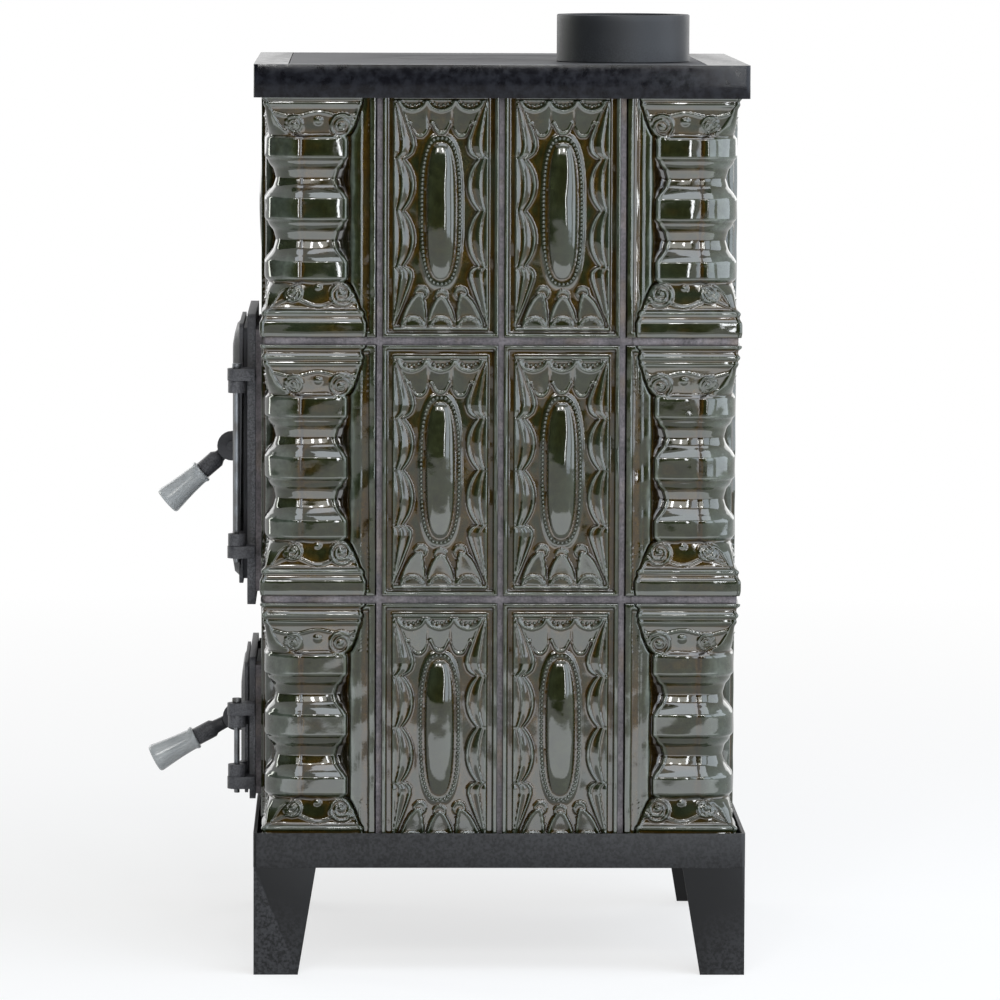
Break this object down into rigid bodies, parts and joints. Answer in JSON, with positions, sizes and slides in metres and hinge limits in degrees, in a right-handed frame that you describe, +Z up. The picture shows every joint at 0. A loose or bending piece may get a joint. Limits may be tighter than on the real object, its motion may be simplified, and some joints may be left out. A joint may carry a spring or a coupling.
{
  "type": "tiled stove",
  "caption": "Small square room stove in a jacket of glazed relief tiles, with iron frames, legs, two hinged doors with latches, a cooking hob and a flue collar.",
  "frame": {"origin": "on the floor under the middle of the bounding box of the whole stove, latch grips included", "axes": "+Z up, the doors face -X, a plain tiled side faces -Y"},
  "size_m": [0.5344, 0.433, 0.842],
  "materials": {
    "glaze": "glossy olive and amber glaze",
    "mortar": "matt joint mortar",
    "firebrick": "matt firebrick",
    "porcelain": "glossy pale grey porcelain",
    "dark_sheet": "satin heat-resistant paint",
    "gloss_black": "glossy black enamel",
    "hob_iron": "ground cast iron",
    "charcoal": "matt charcoal",
    "door_iron": "satin stove paint on cast iron",
    "steel": "dull steel"
  },
  "bodies": {
    "stove": {"corner_tile_far_right_lower": "glaze", "corner_tile_far_right_middle": "glaze", "corner_tile_far_right_upper": "glaze", "corner_tile_far_left_lower": "glaze", "corner_tile_far_left_middle": "glaze", "corner_tile_far_left_upper": "glaze", "corner_tile_near_left_lower": "glaze", "corner_tile_near_left_middle": "glaze", "corner_tile_near_left_upper": "glaze", "corner_tile_near_right_lower": "glaze", "corner_tile_near_right_middle": "glaze", "corner_tile_near_right_upper": "glaze", "tile_near_lower_1": "glaze", "tile_near_lower_2": "glaze", "tile_near_middle_1": "glaze", "tile_near_middle_2": "glaze", "tile_near_upper_1": "glaze", "tile_near_upper_2": "glaze", "tile_right_lower_1": "glaze", "tile_right_lower_2": "glaze", "tile_right_middle_1": "glaze", "tile_right_middle_2": "glaze", "tile_right_upper_1": "glaze", "tile_right_upper_2": "glaze", "tile_far_lower_1": "glaze", "tile_far_lower_2": "glaze", "tile_far_middle_1": "glaze", "tile_far_middle_2": "glaze", "tile_far_upper_1": "glaze", "tile_far_upper_2": "glaze", "tile_left_upper_1": "glaze", "tile_left_upper_2": "glaze", "strip_tile_below_ash_door": "glaze", "strip_tile_between_doors": "glaze", "masonry_foot": "mortar", "masonry_near_wall": "mortar", "masonry_far_wall": "mortar", "masonry_door_wall": "mortar", "masonry_right_wall": "mortar", "firebox_lining": "firebrick", "grate": "door_iron", "base_frame": "dark_sheet", "head_frame": "gloss_black", "hob_plate": "hob_iron", "flue_collar": "charcoal", "fire_door_frame": "door_iron", "fire_hinge_pin": "steel", "ash_door_frame": "door_iron", "ash_hinge_pin": "steel"},
    "fire_door": {"fire_door": "door_iron"},
    "fire_latch": {"fire_latch_lever": "door_iron", "fire_latch_grip": "porcelain"},
    "ash_door": {"ash_door": "door_iron"},
    "ash_latch": {"ash_latch_lever": "door_iron", "ash_latch_grip": "porcelain"},
    "air_slide": {"air_slide": "steel"},
    "ash_pan": {"ash_pan": "steel"},
    "hob_ring_outer": {"hob_ring_outer": "hob_iron"},
    "hob_ring_inner": {"hob_ring_inner": "hob_iron"},
    "hob_lid": {"hob_lid": "hob_iron"}
  },
  "joints": [
    {"name": "fire_door_hinge", "type": "hinge", "parent": "stove", "child": "fire_door", "pos_m": [-0.18187, -0.115, 0.442], "axis": [0, 0, 1], "range_deg": [0, 130]},
    {"name": "fire_latch_pivot", "type": "hinge", "parent": "fire_door", "child": "fire_latch", "pos_m": [-0.19007, 0.0923, 0.442], "axis": [0, 1, 0], "range_deg": [-6, 30]},
    {"name": "ash_door_hinge", "type": "hinge", "parent": "stove", "child": "ash_door", "pos_m": [-0.18187, -0.115, 0.1913], "axis": [0, 0, 1], "range_deg": [0, 130]},
    {"name": "ash_latch_pivot", "type": "hinge", "parent": "ash_door", "child": "ash_latch", "pos_m": [-0.18597, 0.0923, 0.1913], "axis": [0, 1, 0], "range_deg": [-6, 30]},
    {"name": "air_slide_travel", "type": "slide", "parent": "ash_door", "child": "air_slide", "axis": [0, 1, 0], "range_m": [0, 0.018]},
    {"name": "ash_pan_travel", "type": "slide", "parent": "stove", "child": "ash_pan", "axis": [-1, 0, 0], "range_m": [0, 0.038]},
    {"name": "hob_ring_outer_lift", "type": "slide", "parent": "stove", "child": "hob_ring_outer", "axis": [0, 0, 1], "range_m": [0, 0.05]},
    {"name": "hob_ring_inner_lift", "type": "slide", "parent": "hob_ring_outer", "child": "hob_ring_inner", "axis": [0, 0, 1], "range_m": [0, 0.05]},
    {"name": "hob_lid_lift", "type": "slide", "parent": "hob_ring_inner", "child": "hob_lid", "axis": [0, 0, 1], "range_m": [0, 0.05]}
  ]
}
